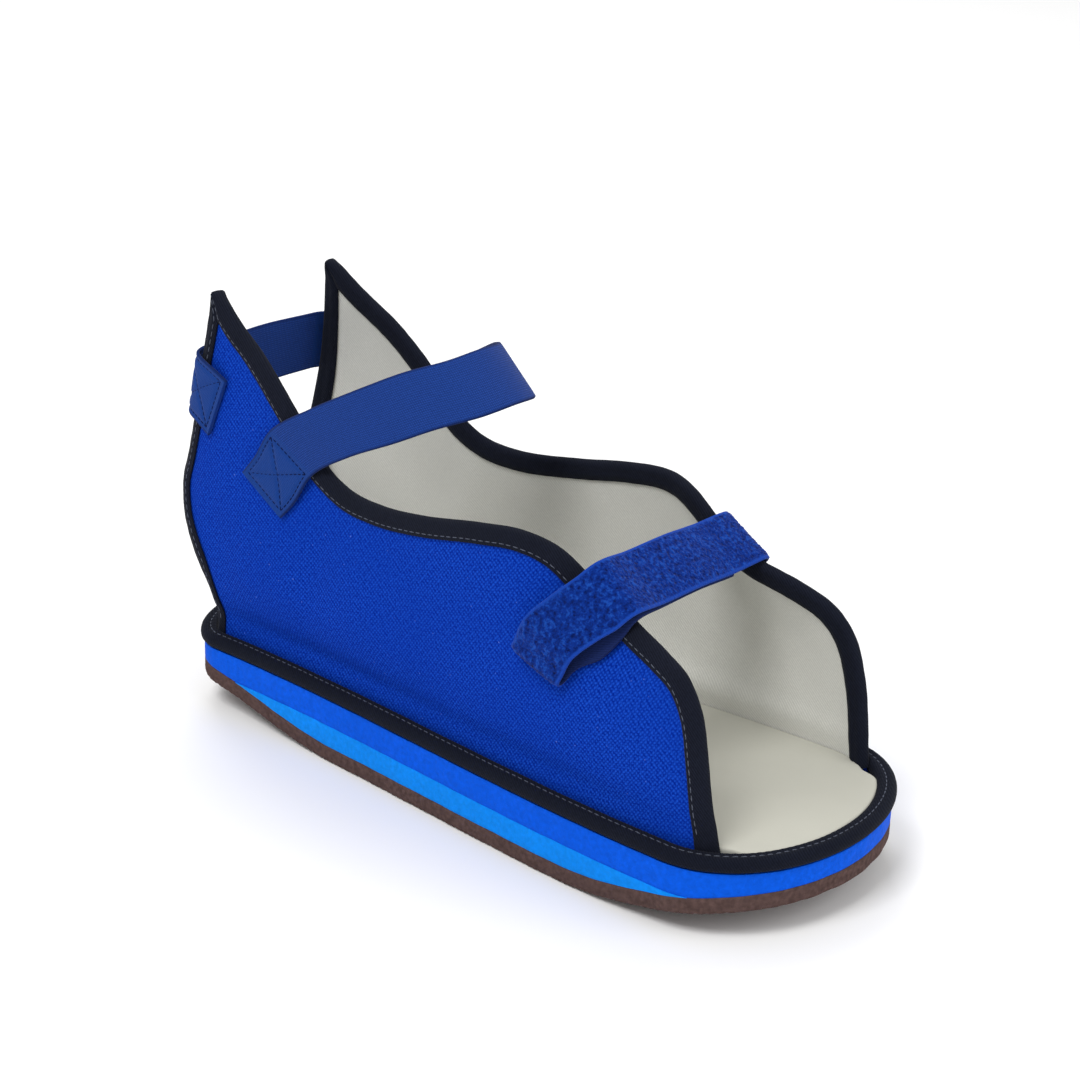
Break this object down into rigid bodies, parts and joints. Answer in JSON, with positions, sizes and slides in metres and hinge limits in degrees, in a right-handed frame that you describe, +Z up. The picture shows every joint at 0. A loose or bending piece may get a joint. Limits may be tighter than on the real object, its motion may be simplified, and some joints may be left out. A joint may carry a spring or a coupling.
{
  "type": "cast shoe",
  "caption": "Open-toe, open-heel cast shoe for either foot: rocker foam sole, canvas side panels with bound edges, webbing straps at ankle and heel and a loop tape over the forefoot.",
  "frame": {"origin": "on the floor under the middle of the sole", "axes": "+X from heel to toe, +Z up, -Y to the right side, where the forefoot tape folds back"},
  "size_m": [0.303, 0.117, 0.1679],
  "materials": {
    "outsole_rubber": "matte",
    "wedge_foam": "satin",
    "midsole_foam": "satin",
    "insole_cover": "matte",
    "band_fabric": "woven",
    "canvas": "woven",
    "binding_tape": "woven",
    "webbing": "woven",
    "loop_tape": "looped pile"
  },
  "bodies": {
    "root": {"outsole": "outsole_rubber", "wedge": "wedge_foam", "midsole": "midsole_foam", "insole": "insole_cover", "sole_band": "band_fabric", "upper": "canvas", "edge_binding_right": "binding_tape", "edge_binding_left": "binding_tape", "ankle_strap": "webbing", "heel_strap": "webbing", "forefoot_strap": "loop_tape"}
  },
  "joints": []
}
